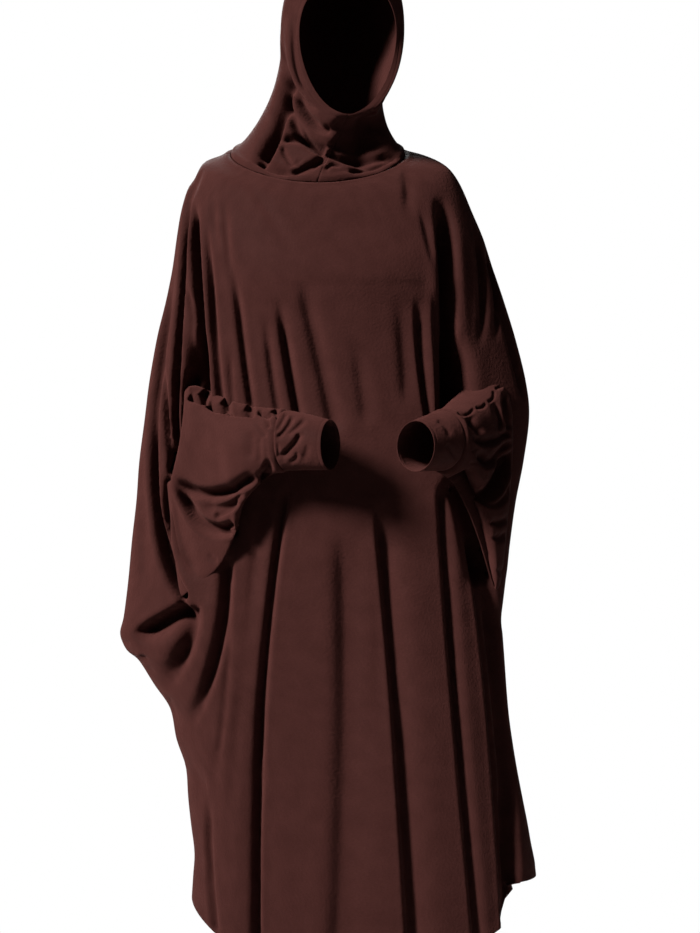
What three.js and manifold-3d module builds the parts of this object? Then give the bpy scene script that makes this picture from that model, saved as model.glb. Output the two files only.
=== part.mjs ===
// A hooded batwing dress as a hollow worn form: front and back panels, two forearm sleeves with their
// loose drape, two cuffs and a hood in two halves. Millimetres, +Z up, the front faces -Y and the
// wearer's right is at -X. The origin is on the shoulder line, midway between the shoulders.
import * as THREE from "three";
import Module from "manifold-3d";

const wasm = await Module();
wasm.setup();

const CLOTH = 1.6; // thickness of the wall
const SEAM = 0.3; // gap between two pieces at a seam
const COLLAR_SEAM = 0.7; // the same along the collar, where two walls meet at an angle
const FRONT_COLUMNS = 36; // divisions across the front panel
const BACK_COLUMNS = 22; // divisions across the back panel
const BODY_ROWS = 40; // divisions from collar to hem
const SLEEVE_SIDES = 20; // divisions around a forearm
const SLEEVE_ROWS = 9; // divisions along a forearm
const CUFF_ROWS = 3; // divisions along a cuff
const HOOD_COLUMNS = 13; // divisions from the chin seam to the crown seam
const HOOD_ROWS = 14; // divisions from the collar to the face opening
const FOLD_STEPS = 16; // straight steps along the curve of a fold
const NARROWEST_FOLD = 17; // half width of the narrowest fold that the wall follows
const STEEPEST_FOLD = 1.9; // depth of a fold over its half width, at most
const TAB_LEVEL = -1003; // height of the hem beside the left corner of the front
const TAB_FROM = 244; // where the hem starts to rise to that height
const TAB_RUN = 10; // width over which it rises
const TAB_ROWS = 4; // rows of the table BODY that the rise is spread over

// Level sections of the dress from the collar seam down to the hem.
const BODY_COLUMNS = [
  "rightX", "rightZ", "leftX", "leftZ", "sideY", "frontY", "frontZ", "backY", "backZ", "power",
];
const BODY = [
  [-135, 9, 112, 7, 3, -84, -41, 74, 28, 2.0],
  [-150, 2, 141, 2, 4, -93, -52, 84, 12, 2.05],
  [-172, -6, 164, -7, 6, -101, -66, 92, -8, 2.1],
  [-184, -27, 179, -20, 8, -107, -82, 97, -32, 2.15],
  [-194, -42, 192, -42, 9, -113, -102, 101, -60, 2.2],
  [-203, -73, 205, -73, 10, -120, -128, 103, -92, 2.2],
  [-209, -108, 220, -108, 11, -127, -155, 103, -125, 2.1],
  [-215, -150, 234, -150, 12, -128, -188, 102, -165, 2.0],
  [-224, -195, 249, -195, 13, -120, -222, 101, -208, 1.9],
  [-237, -250, 266, -250, 14, -112, -265, 100, -258, 1.85],
  [-248, -311, 281, -311, 14, -106, -318, 100, -315, 1.8],
  [-255, -367, 286, -360, 14, -103, -370, 102, -370, 1.8],
  [-262, -423, 278, -423, 12, -103, -425, 105, -425, 1.8],
  [-266, -479, 267, -479, 10, -104, -480, 108, -480, 1.85],
  [-272, -535, 259, -535, 8, -107, -536, 111, -536, 1.9],
  [-277, -591, 252, -591, 6, -110, -592, 114, -592, 2.0],
  [-283, -640, 246, -640, 5, -113, -640, 116, -640, 2.05],
  [-288, -665, 248, -668, 4, -114, -672, 117, -672, 2.1],
  [-279, -687, 250, -694, 4, -115, -700, 118, -698, 2.1],
  [-262, -701, 252, -722, 4, -117, -730, 119, -722, 2.15],
  [-240, -735, 254, -750, 4, -119, -762, 120, -752, 2.2],
  [-218, -768, 257, -782, 4, -121, -796, 122, -786, 2.2],
  [-209, -812, 262, -818, 5, -124, -834, 124, -824, 2.2],
  [-196, -850, 268, -855, 6, -127, -872, 126, -862, 2.2],
  [-193, -892, 275, -892, 7, -130, -912, 128, -900, 2.2],
  [-189, -930, 282, -926, 8, -133, -954, 130, -938, 2.2],
  [-184, -970, 288, -960, 9, -136, -1004, 132, -980, 2.2],
  [-186, -1002, 293, -985, 10, -138, -1060, 134, -1022, 2.2],
  [-188, -1032, 295, -1006, 11, -140, -1118, 136, -1062, 2.2],
];

// Folds of the front seen from ahead: a curve through a start, a middle and an end, half widths on its
// two sides, depth, and the shares of its length over which it fades in and out.
const FOLD_COLUMNS = [
  "x0", "z0", "x1", "z1", "x2", "z2", "before", "after", "depth", "fadeIn", "fadeOut",
];
const FRONT_FOLDS = [
  [-180, -79, -174, -194, -171, -347, 10, 12, 52, 0.45, 0], // right armhole gap
  [-191, -73, -199, -178, -214, -342, 5, 7, 16, 0.25, 0.1], // outer shoulder drape, right
  [-240, -353, -233, -514, -191, -613, 7, 8, 18, 0.4, 0.03], // crease to the foot of the drape
  [-188, -616, -231, -641, -273, -666, 17, 17, 32, 0.06, 0.4], // hollow under the drape
  [-185, -623, -195, -670, -233, -739, 17, 17, 24, 0.05, 0.35], // fold towards the side seam
  [-131, -549, -141, -661, -168, -804, 17, 17, 26, 0.1, 0.2], // flank
  [-56, -450, -107, -773, -93, -1110, 9, 9, 28, 0.12, 0], // knee, right
  [27, -463, 45, -719, 18, -1110, 26, 26, 15, 0.2, 0], // soft centre
  [64, -463, 99, -733, 108, -1110, 10, 12, 30, 0.15, 0], // centre left
  [155, -531, 185, -773, 209, -1110, 8, 10, 28, 0.12, 0], // thigh, left
  [196, -531, 227, -800, 247, -1083, 9, 12, 28, 0.12, 0], // side, left
  [-163, -102, -152, -207, -130, -356, 5, 7, 12, 0.3, 0], // chest, right
  [-62, -202, -52, -275, -36, -376, 6, 8, 9, 0.3, 0], // belly, right
  [-28, -180, -10, -248, 12, -382, 10, 10, 8, 0.3, 0.1], // belly, centre
  [-110, -27, -85, -79, -50, -140, 12, 14, 5, 0.2, 0.6], // from the neck
  [111, -11, 112, -59, 108, -108, 8, 8, 6, 0.2, 0.5], // chest, left
  [154, -73, 162, -194, 171, -356, 12, 14, 50, 0.4, 0], // left armhole gap
  [201, -83, 205, -194, 193, -329, 6, 8, 16, 0.25, 0], // shoulder, left
  [124, -197, 127, -275, 138, -369, 5, 7, 9, 0.3, 0], // belly, left
];
const BACK_FOLDS = [
  [-150, -70, -185, -300, -215, -560, 12, 12, 18, 0.2, 0.2], // under the right arm
  [150, -70, 190, -300, 222, -520, 12, 12, 18, 0.2, 0.2], // under the left arm
  [-120, -120, -140, -350, -170, -640, 12, 10, 13, 0.25, 0.25], // shoulder blade, right
  [118, -110, 140, -330, 180, -600, 12, 10, 13, 0.25, 0.25], // shoulder blade, left
  [-60, -260, -75, -640, -95, -1070, 14, 12, 22, 0.3, 0], // back, right
  [10, -330, 5, -690, -5, -1070, 16, 14, 16, 0.3, 0], // back, centre
  [80, -250, 100, -650, 125, -1070, 13, 13, 24, 0.3, 0], // back, left
  [165, -560, 190, -800, 215, -1060, 12, 12, 24, 0.2, 0], // hip, left
  [-150, -640, -150, -840, -140, -1070, 12, 12, 20, 0.2, 0], // hip, right
];

// Upright sections of a forearm: its top and its lowest point, the half widths there, how far the widest
// part sits towards the top, and the way the arm runs, in degrees from straight ahead to the left.
const SLEEVE_COLUMNS = [
  "topX", "topY", "topZ", "lowX", "lowY", "lowZ", "topWidth", "lowWidth", "rise", "heading",
];
const SLEEVE_RIGHT = [
  [-198, 12, -318, -200, -30, -612, 44, 14, 1.5, 42],
  [-182, -20, -321, -192, -66, -606, 52, 14, 1.5, 42],
  [-160, -46, -332, -146, -98, -568, 50, 14, 1.5, 44],
  [-130, -82, -343, -124, -122, -526, 47, 15, 1.4, 47],
  [-102, -112, -349, -114, -142, -485, 45, 20, 1.25, 52],
  [-76, -138, -352, -80, -152, -447, 42, 30, 1.1, 59],
  [-52, -158, -355, -52, -158, -437, 39, 37, 1.0, 65],
];
const SLEEVE_LEFT = [
  [232, 14, -306, 240, -26, -598, 34, 14, 1.5, -20],
  [220, -26, -312, 234, -56, -598, 46, 16, 1.5, -20],
  [204, -56, -326, 224, -80, -560, 48, 17, 1.4, -22],
  [189, -84, -338, 208, -102, -510, 46, 20, 1.3, -26],
  [174, -114, -348, 187, -124, -462, 43, 28, 1.1, -31],
  [158, -140, -355, 158, -140, -437, 39, 37, 1.0, -37],
];
const CUFF_RIGHT = [
  [-52, -158, -355, -52, -158, -437, 39, 37, 1.0, 65],
  [-22, -172, -361, -22, -172, -436, 35, 34, 1.0, 65],
  [8, -186, -369, 8, -186, -436, 31, 31, 1.0, 65],
];
const CUFF_LEFT = [
  [158, -140, -355, 158, -140, -437, 39, 37, 1.0, -37],
  [140, -164, -362, 140, -164, -437, 35, 34, 1.0, -37],
  [121, -189, -370, 121, -189, -438, 31, 31, 1.0, -37],
];
const SLEEVE_RIGHT_FOLDS = [
  [-184, -407, -149, -487, -78, -442, 8, 11, 9, 0.15, 0.15], // under the forearm
  [-208, -442, -184, -508, -117, -521, 10, 14, 9, 0.1, 0.15], // second swag
];
const SLEEVE_LEFT_FOLDS = [
  [195, -404, 221, -399, 253, -386, 7, 5, 6, 0.2, 0.1], // first swag
  [187, -452, 221, -476, 253, -394, 10, 8, 8, 0.15, 0.15], // second swag
];

// Rings of the hood, fanned from the collar seam round the back of the head to the face opening.
const HOOD_COLUMNS_OF = [
  "frontX", "frontY", "frontZ", "rightX", "leftX", "sideY", "sideZ", "backX", "backY", "backZ", "power",
];
const HOOD = [
  [-10, -84, -41, -134, 112, 3, 8, -10, 74, 28, 2.0],
  [-2, -79, -18, -114, 97, 0, 24, -4, 66, 52, 2.0],
  [8, -75, 2, -93, 84, -4, 52, 4, 62, 84, 2.0],
  [18, -78, 20, -75, 80, -8, 88, 14, 82, 128, 2.0],
  [25, -85, 34, -64, 94, -16, 130, 20, 106, 190, 2.05],
  [29, -90, 43, -63, 104, -28, 164, 22, 84, 262, 2.1],
  [31, -92, 48, -58, 109, -44, 184, 26, 10, 299, 2.1],
  [31, -91, 51, -36, 98, -66, 165, 31, -80, 238, 2.0],
];
const HOOD_FOLDS = [
  [-56, 92, -68, 34, -93, -17, 7, 8, 13, 0.2, 0.1], // side of the neck, right
  [-48, 76, -29, 27, -1, 1, 5, 6, 7, 0.25, 0.05], // under the chin
  [-66, 16, -34, 13, 0, -8, 6, 6, 8, 0.2, 0.05], // swag over the collar
  [7, -4, 42, -14, 80, 2, 7, 8, 8, 0.1, 0.3], // throat, left
  [57, 53, 54, 13, 46, -27, 22, 20, 22, 0.25, 0.1], // side of the throat, left
];

// The rows of a table as objects with named columns.
function named(columns, rows) {
  return rows.map((row) => Object.fromEntries(columns.map((name, i) => [name, row[i]])));
}

// A smooth value between the rows of a table, at a place counted in rows.
function between(rows, name, place) {
  const last = rows.length - 1;
  const i = Math.min(Math.floor(place), last - 1);
  const t = place - i;
  const at = (k) => rows[Math.min(Math.max(k, 0), last)][name];
  const rise = (at(i + 1) - at(i - 1)) / 2;
  const nextRise = (at(i + 2) - at(i)) / 2;
  const t2 = t * t;
  const t3 = t2 * t;
  return (
    at(i) * (2 * t3 - 3 * t2 + 1) +
    rise * (t3 - 2 * t2 + t) +
    at(i + 1) * (3 * t2 - 2 * t3) +
    nextRise * (t3 - t2)
  );
}

function rowAt(rows, place) {
  return Object.fromEntries(Object.keys(rows[0]).map((name) => [name, between(rows, name, place)]));
}

// A point of a ring through its front, sides and back, at a turn of 0 in front and a quarter at the left.
function ringPoint(front, back, right, left, power, turn) {
  const angle = turn * 2 * Math.PI;
  const square = (v) => Math.sign(v) * Math.abs(v) ** (2 / power);
  const c = square(Math.cos(angle));
  const s = square(Math.sin(angle));
  const middle = left.clone().add(right).multiplyScalar(0.5);
  const along = front.clone().sub(back).multiplyScalar(0.5);
  const bend = front.clone().add(back).multiplyScalar(0.5).sub(middle);
  const across = left.clone().sub(right).multiplyScalar(0.5);
  return middle.addScaledVector(along, c).addScaledVector(bend, c * c).addScaledVector(across, s);
}

// Turns that space the points of a section evenly from one turn to another.
function evenTurns(halfWidth, depth, from, to, count) {
  const steps = 400;
  const lengths = [0];
  for (let i = 1; i <= steps; i++) {
    const a = 2 * Math.PI * (from + ((to - from) * (i - 0.5)) / steps);
    lengths.push(lengths[i - 1] + Math.hypot(halfWidth * Math.cos(a), depth * Math.sin(a)));
  }
  const turns = [];
  let i = 0;
  for (let k = 0; k <= count; k++) {
    const wanted = (lengths[steps] * k) / count;
    while (i < steps && lengths[i + 1] < wanted) i++;
    const share = i < steps ? (wanted - lengths[i]) / (lengths[i + 1] - lengths[i]) : 0;
    turns.push(from + ((to - from) * (i + share)) / steps);
  }
  return turns;
}

// The points of a fold's curve, seen from ahead.
function foldCurve(fold) {
  const middleX = 2 * fold.x1 - (fold.x0 + fold.x2) / 2;
  const middleZ = 2 * fold.z1 - (fold.z0 + fold.z2) / 2;
  return Array.from({ length: FOLD_STEPS + 1 }, (_, i) => {
    const t = i / FOLD_STEPS;
    const u = 1 - t;
    return {
      x: u * u * fold.x0 + 2 * u * t * middleX + t * t * fold.x2,
      z: u * u * fold.z0 + 2 * u * t * middleZ + t * t * fold.z2,
    };
  });
}

// How deep the folds are at a point seen from ahead.
function foldDepth(folds, x, z) {
  let depth = 0;
  for (const fold of folds) {
    let nearest = Infinity;
    let place = 0;
    let side = 0;
    for (let i = 0; i < FOLD_STEPS; i++) {
      const a = fold.curve[i];
      const b = fold.curve[i + 1];
      const alongX = b.x - a.x;
      const alongZ = b.z - a.z;
      const length2 = alongX * alongX + alongZ * alongZ;
      const share = ((x - a.x) * alongX + (z - a.z) * alongZ) / length2;
      const t = THREE.MathUtils.clamp(share, 0, 1);
      const dx = x - a.x - t * alongX;
      const dz = z - a.z - t * alongZ;
      const distance = Math.hypot(dx, dz);
      if (distance < nearest) {
        nearest = distance;
        place = (i + t) / FOLD_STEPS;
        side = alongX * dz - alongZ * dx;
      }
    }
    const width = Math.max(side < 0 ? fold.before : fold.after, NARROWEST_FOLD);
    const fade = (share, t) => (share ? THREE.MathUtils.smoothstep(t / share, 0, 1) : 1);
    const ends = fade(fold.fadeIn, place) * fade(fold.fadeOut, 1 - place);
    const deepest = Math.min(fold.depth, STEEPEST_FOLD * width);
    depth += deepest * ends * Math.exp(-((nearest / width) ** 2));
  }
  return depth;
}

// Unit normals of a grid of rings, facing out.
function normalsOf(grid) {
  const rows = grid.length;
  const columns = grid[0].length;
  let outward = 0;
  const normals = grid.map((line, i) => {
    const centre = middleOf(line);
    return line.map((point, j) => {
      const along = grid[Math.min(i + 1, rows - 1)][j].clone().sub(grid[Math.max(i - 1, 0)][j]);
      const around = line[(j + 1) % columns].clone().sub(line[(j - 1 + columns) % columns]);
      const normal = along.cross(around).normalize();
      outward += normal.dot(point.clone().sub(centre));
      return normal;
    });
  });
  if (outward < 0) normals.flat().forEach((normal) => normal.negate());
  return normals;
}

function middleOf(line) {
  const sum = new THREE.Vector3();
  line.forEach((point) => sum.add(point));
  return sum.divideScalar(line.length);
}

function foldsOf(table) {
  return named(FOLD_COLUMNS, table).map((fold) => ({ ...fold, curve: foldCurve(fold) }));
}

// Presses the folds into a grid, along its normals, where these face the given way.
function press(grid, normals, folds, facing) {
  return grid.map((line, i) =>
    line.map((point, j) => {
      const normal = normals[i][j];
      const share = THREE.MathUtils.smoothstep(facing * normal.y, 0.02, 0.35);
      const depth = share ? share * foldDepth(folds, point.x, point.z) : 0;
      return point.clone().addScaledVector(normal, -depth);
    }),
  );
}

function part(grid, from, to) {
  return grid.map((line) => Array.from({ length: to - from + 1 }, (_, k) => line[(from + k) % line.length]));
}

// Moves the two side edges of a panel in by half a seam gap.
function trimSides(grid) {
  return grid.map((line) => {
    const moved = line.map((point) => point.clone());
    const last = line.length - 1;
    const inward = (a, b) => b.clone().sub(a).setLength(SEAM / 2);
    moved[0].add(inward(line[0], line[1]));
    moved[last].add(inward(line[last], line[last - 1]));
    return moved;
  });
}

// How far a point above the hem is lifted so that the hem is level beside the left corner.
function tabLift(hem, rowsUp) {
  const beside = THREE.MathUtils.smoothstep(hem.x, TAB_FROM, TAB_FROM + TAB_RUN);
  const share = Math.max(1 - rowsUp / TAB_ROWS, 0);
  return Math.max(TAB_LEVEL - hem.z, 0) * beside * share * share;
}

// A wall of cloth under a grid of outer points: outer face, inner face and the rims that join them.
function wall(outer, normals, closed) {
  const rows = outer.length;
  const columns = outer[0].length;
  const inner = outer.map((line, i) =>
    line.map((point, j) => point.clone().addScaledVector(normals[i][j], -CLOTH)),
  );
  const positions = [...outer.flat(), ...inner.flat()].flatMap((point) => point.toArray());
  const faces = [];
  const id = (i, j, layer) => layer * rows * columns + i * columns + (j % columns);
  const quad = (a, b, c, d) => faces.push(a, b, c, a, c, d);
  const last = closed ? columns : columns - 1;
  for (let i = 0; i < rows - 1; i++) {
    for (let j = 0; j < last; j++) {
      quad(id(i, j, 0), id(i + 1, j, 0), id(i + 1, j + 1, 0), id(i, j + 1, 0));
      quad(id(i, j, 1), id(i, j + 1, 1), id(i + 1, j + 1, 1), id(i + 1, j, 1));
    }
  }
  for (let j = 0; j < last; j++) {
    const end = rows - 1;
    quad(id(0, j, 0), id(0, j + 1, 0), id(0, j + 1, 1), id(0, j, 1));
    quad(id(end, j, 0), id(end, j, 1), id(end, j + 1, 1), id(end, j + 1, 0));
  }
  for (let i = 0; i < rows - 1 && !closed; i++) {
    quad(id(i, 0, 0), id(i, 0, 1), id(i + 1, 0, 1), id(i + 1, 0, 0));
    quad(id(i, last, 0), id(i + 1, last, 0), id(i + 1, last, 1), id(i, last, 1));
  }
  return solid(positions, faces);
}

// A filled form inside a closed grid, grown by a margin.
function filled(grid, normals, margin) {
  const rows = grid.length;
  const columns = grid[0].length;
  const grown = grid.map((line, i) =>
    line.map((point, j) => point.clone().addScaledVector(normals[i][j], margin)),
  );
  const points = [...grown.flat(), middleOf(grown[0]), middleOf(grown[rows - 1])];
  const faces = [];
  for (let j = 0; j < columns; j++) {
    const next = (j + 1) % columns;
    for (let i = 0; i < rows - 1; i++) {
      const a = i * columns;
      const b = a + columns;
      faces.push(a + j, b + j, b + next, a + j, b + next, a + next);
    }
    const end = (rows - 1) * columns;
    faces.push(j, next, rows * columns, end + next, end + j, rows * columns + 1);
  }
  return solid(points.flatMap((point) => point.toArray()), faces);
}

function solid(positions, faces) {
  const made = new wasm.Manifold(
    new wasm.Mesh({
      numProp: 3,
      vertProperties: new Float32Array(positions),
      triVerts: new Uint32Array(faces),
    }),
  );
  if (made.volume() > 0) return made;
  const turned = faces.slice();
  for (let i = 0; i < turned.length; i += 3) {
    [turned[i + 1], turned[i + 2]] = [turned[i + 2], turned[i + 1]];
  }
  return solid(positions, turned);
}

// The dress from collar to hem.
const body = named(BODY_COLUMNS, BODY);
const turns = [
  ...evenTurns(265, 108, -0.25, 0.25, FRONT_COLUMNS).slice(0, -1),
  ...evenTurns(265, 108, 0.25, 0.75, BACK_COLUMNS).slice(0, -1),
];
const smoothBody = Array.from({ length: BODY_ROWS + 1 }, (_, i) => {
  const row = rowAt(body, (i / BODY_ROWS) * (body.length - 1));
  const middleX = (row.rightX + row.leftX) / 2;
  const front = new THREE.Vector3(middleX, row.frontY, row.frontZ);
  const back = new THREE.Vector3(middleX, row.backY, row.backZ);
  const right = new THREE.Vector3(row.rightX, row.sideY, row.rightZ);
  const left = new THREE.Vector3(row.leftX, row.sideY, row.leftZ);
  return turns.map((turn) => ringPoint(front, back, right, left, row.power, turn));
});
const hemLine = smoothBody[BODY_ROWS].map((point) => point.clone());
smoothBody.forEach((line, i) => {
  const rowsUp = (1 - i / BODY_ROWS) * (body.length - 1);
  line.forEach((point, j) => {
    point.z += tabLift(hemLine[j], rowsUp);
  });
});
const smoothNormals = normalsOf(smoothBody);
const frontPressed = press(smoothBody, smoothNormals, foldsOf(FRONT_FOLDS), -1);
const bodyGrid = press(frontPressed, smoothNormals, foldsOf(BACK_FOLDS), 1);
const bodyNormals = normalsOf(bodyGrid);

function bodyPanel(from, to) {
  return wall(trimSides(part(bodyGrid, from, to)), part(bodyNormals, from, to), false);
}

// A forearm or cuff, whose sections stand upright across the way it runs.
function armGrid(table, rows, startGap) {
  const sections = named(SLEEVE_COLUMNS, table);
  const last = sections.length - 1;
  return Array.from({ length: rows + 1 }, (_, i) => {
    const place = Math.min(startGap * (i === 0) + (i / rows) * last, last);
    const row = rowAt(sections, place);
    const turn = THREE.MathUtils.degToRad(row.heading);
    const across = new THREE.Vector3(Math.cos(turn), Math.sin(turn), 0);
    return Array.from({ length: SLEEVE_SIDES }, (_, j) => {
      const angle = (2 * Math.PI * j) / SLEEVE_SIDES;
      const fall = ((1 - Math.cos(angle)) / 2) ** row.rise;
      const width = THREE.MathUtils.lerp(row.topWidth, row.lowWidth, fall) * Math.sin(angle);
      const top = new THREE.Vector3(row.topX, row.topY, row.topZ);
      const low = new THREE.Vector3(row.lowX, row.lowY, row.lowZ);
      return top.lerp(low, fall).addScaledVector(across, width);
    });
  });
}

// Normals of a forearm or cuff, square to the way it runs at both its ends.
function armNormals(grid, table) {
  const normals = normalsOf(grid);
  for (const end of [0, -1]) {
    const turn = THREE.MathUtils.degToRad(table.at(end).at(-1));
    const along = new THREE.Vector3(Math.sin(turn), -Math.cos(turn), 0);
    normals.at(end).forEach((normal) => normal.addScaledVector(along, -normal.dot(along)).normalize());
  }
  return normals;
}

function sleeve(table, folds) {
  const smooth = armGrid(table, SLEEVE_ROWS, 0);
  const grid = press(smooth, normalsOf(smooth), foldsOf(folds), -1);
  const normals = armNormals(grid, table);
  return { made: wall(grid, normals, true), fill: filled(grid, normals, SEAM) };
}

function cuff(table) {
  const length = Math.hypot(table[0][0] - table[1][0], table[0][1] - table[1][1]);
  const grid = armGrid(table, CUFF_ROWS, SEAM / length);
  return wall(grid, armNormals(grid, table), true);
}

// The hood, in two halves that meet under the chin and over the crown.
const hoodSections = named(HOOD_COLUMNS_OF, HOOD);
const hoodTurns = [
  ...evenTurns(85, 100, 0, 0.5, HOOD_COLUMNS).slice(0, -1),
  ...evenTurns(85, 100, 0.5, 1, HOOD_COLUMNS).slice(0, -1),
];
const smoothHood = Array.from({ length: HOOD_ROWS + 1 }, (_, i) => {
  const row = rowAt(hoodSections, (i / HOOD_ROWS) * (hoodSections.length - 1));
  const front = new THREE.Vector3(row.frontX, row.frontY, row.frontZ);
  const back = new THREE.Vector3(row.backX, row.backY, row.backZ);
  const right = new THREE.Vector3(row.rightX, row.sideY, row.sideZ);
  const left = new THREE.Vector3(row.leftX, row.sideY, row.sideZ);
  return hoodTurns.map((turn) => ringPoint(front, back, right, left, row.power, turn));
});
smoothHood[0].forEach((point, j) => {
  point.add(smoothHood[1][j].clone().sub(point).setLength(COLLAR_SEAM));
});
const hoodGrid = press(smoothHood, normalsOf(smoothHood), foldsOf(HOOD_FOLDS), -1);
const hoodNormals = normalsOf(hoodGrid);

function hoodHalf(from, to) {
  return wall(trimSides(part(hoodGrid, from, to)), part(hoodNormals, from, to), false);
}

const sleeveRight = sleeve(SLEEVE_RIGHT, SLEEVE_RIGHT_FOLDS);
const sleeveLeft = sleeve(SLEEVE_LEFT, SLEEVE_LEFT_FOLDS);
const pieces = {
  front: bodyPanel(0, FRONT_COLUMNS).subtract(sleeveRight.fill).subtract(sleeveLeft.fill),
  back: bodyPanel(FRONT_COLUMNS, FRONT_COLUMNS + BACK_COLUMNS),
  sleeve_right: sleeveRight.made,
  sleeve_left: sleeveLeft.made,
  cuff_right: cuff(CUFF_RIGHT),
  cuff_left: cuff(CUFF_LEFT),
  hood_left: hoodHalf(0, HOOD_COLUMNS),
  hood_right: hoodHalf(HOOD_COLUMNS, 2 * HOOD_COLUMNS),
};

const cloth = new THREE.MeshStandardMaterial({ color: 0x45241f, roughness: 0.55, metalness: 0 });
const dress = new THREE.Group();
dress.name = "hijab_dress";
for (const [name, piece] of Object.entries(pieces)) {
  const data = piece.getMesh();
  const geometry = new THREE.BufferGeometry();
  geometry.setAttribute("position", new THREE.BufferAttribute(data.vertProperties, 3));
  geometry.setIndex(new THREE.BufferAttribute(data.triVerts, 1));
  geometry.computeVertexNormals();
  const mesh = new THREE.Mesh(geometry, cloth);
  mesh.name = name;
  dress.add(mesh);
}

export default dress;
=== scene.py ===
import math

import bpy
import numpy as np
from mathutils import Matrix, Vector
from mathutils.bvhtree import BVHTree


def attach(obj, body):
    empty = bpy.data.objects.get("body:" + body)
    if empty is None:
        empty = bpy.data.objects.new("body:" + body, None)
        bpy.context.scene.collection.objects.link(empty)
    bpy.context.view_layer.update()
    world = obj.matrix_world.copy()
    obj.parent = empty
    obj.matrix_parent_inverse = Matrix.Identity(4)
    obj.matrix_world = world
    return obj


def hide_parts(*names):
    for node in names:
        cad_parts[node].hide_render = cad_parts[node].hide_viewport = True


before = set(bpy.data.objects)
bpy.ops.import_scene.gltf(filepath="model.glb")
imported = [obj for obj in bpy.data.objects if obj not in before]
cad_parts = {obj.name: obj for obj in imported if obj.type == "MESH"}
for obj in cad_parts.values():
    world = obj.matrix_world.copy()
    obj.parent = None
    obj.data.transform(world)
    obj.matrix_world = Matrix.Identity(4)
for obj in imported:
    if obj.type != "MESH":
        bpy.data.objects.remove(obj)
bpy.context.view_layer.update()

# ---- the dress's own sizes, in millimetres ---------------------------------------------------------
# The rings of BODY, the sleeves, the cuffs and HOOD are those of the solids. The folds are finer.
# The sides of BODY and HOOD follow the photo's outline as a scratch program measured it. The fold lines
# were picked by eye on the photo and turned into millimetres by a scratch program, but BACK_FOLDS wasn't.

MM = 0.001  # metres in a millimetre
THIN = 0.9  # thickness of the shell
TAB_LEVEL = -1003  # height of the hem beside the left corner of the front
TAB_FROM, TAB_RUN = 244, 10  # where the hem starts to rise to that height, and over what width
TAB_ROWS = 4  # rows of the table BODY that the rise is spread over

# the mesh: points round each ring and rows of points along each piece
FRONT_COLUMNS, BACK_COLUMNS, BODY_ROWS = 212, 120, 232
ROWS_DOWN_TO = [0, 12, 30, 150, 205, 226, 232]  # rows of the mesh, closer together at the collar and hem
BODY_ROWS_AT = [0, 1, 6, 16, 22, 27.7, 28]  # the same places in the table BODY
FOREARM_SIDES, FOREARM_ROWS, CUFF_ROWS = 260, 170, 60
HOOD_COLUMNS, HOOD_ROWS = 120, 150
BODY_SECTION = (265, 108)  # half width and half depth that the body's points are spaced for
HOOD_SECTION = (85, 100)  # the same for the hood

# a fold's profile: its lip stands this much of its depth high, at this place and width in half widths
LIP, LIP_PLACE, LIP_WIDTH = 0.05, 2.1, 0.9
CURVE_STEPS = 24  # straight steps that stand for a fold's curve
REACH, MARGIN = 4, 5  # past this many half widths, and as many millimetres more, a fold is nothing
FACING_FROM, FACING_RUN = 0.02, 0.2  # folds fade out where the cloth turns side on
ALONG_NORMAL, STRAIGHT_IN = 0.4, 0.6  # how far a fold goes in along the normal, and straight in

# seams and turned edges: height, place in from the edge and width of each swell or groove
BODY_COLLAR_MARKS = [(-2.0, 0, 2.4), (0.8, 6, 3)]
HOOD_COLLAR_MARKS = [(2.2, 7, 4), (-1.5, 0, 1.6)]
HOOD_FACE_MARKS = [(-0.6, 9, 1.2)]
HEM_MARKS = [(-0.7, 11, 1.2)]
WRIST_MARKS = [(1.2, 6, 3.5), (-1.6, 0, 1.6)]
CUFF_SEAM_MARKS = [(-1.6, 0, 1.6)]
CUFF_EDGE_MARKS = [(-0.6, 5, 1.1)]

# where the front has no faces, inside each sleeve: the sleeve's heading, and the box that they lie in
RIGHT_HEADING, RIGHT_BOX = 45, ([-212, -200, -640], [-20, 20, -290])
LEFT_HEADING, LEFT_BOX = -25, ([100, -200, -640], [280, 20, -280])
COVER = 4  # how deep inside the sleeve they lie
MOST_CROSSINGS, RAY_STEP = 9, 0.01  # a ray that tells inside from outside, and its step past each wall

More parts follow.
